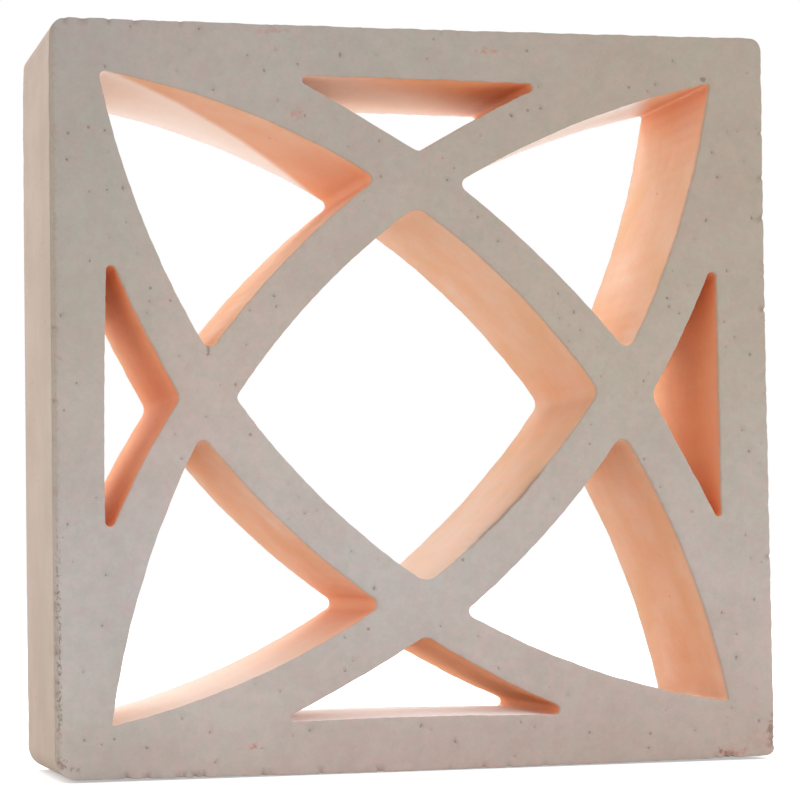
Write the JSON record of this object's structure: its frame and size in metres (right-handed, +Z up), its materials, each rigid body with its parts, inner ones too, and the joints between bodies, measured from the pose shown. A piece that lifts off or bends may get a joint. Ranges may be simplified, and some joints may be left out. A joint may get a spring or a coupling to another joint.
{
  "type": "breeze block",
  "caption": "Square fired-clay breeze block: a plain frame around an openwork tracery of crossing bowed bands, open from face to face.",
  "frame": {"origin": "middle of the underside, halfway through the depth", "axes": "+Z up the laid face, +Y through the wall away from the face seen in the picture, +X to the right of that face"},
  "size_m": [0.2, 0.058, 0.201],
  "materials": {
    "fired_clay": "matt unglazed, fine pits and specks"
  },
  "bodies": {
    "root": {"block": "fired_clay"}
  },
  "joints": []
}
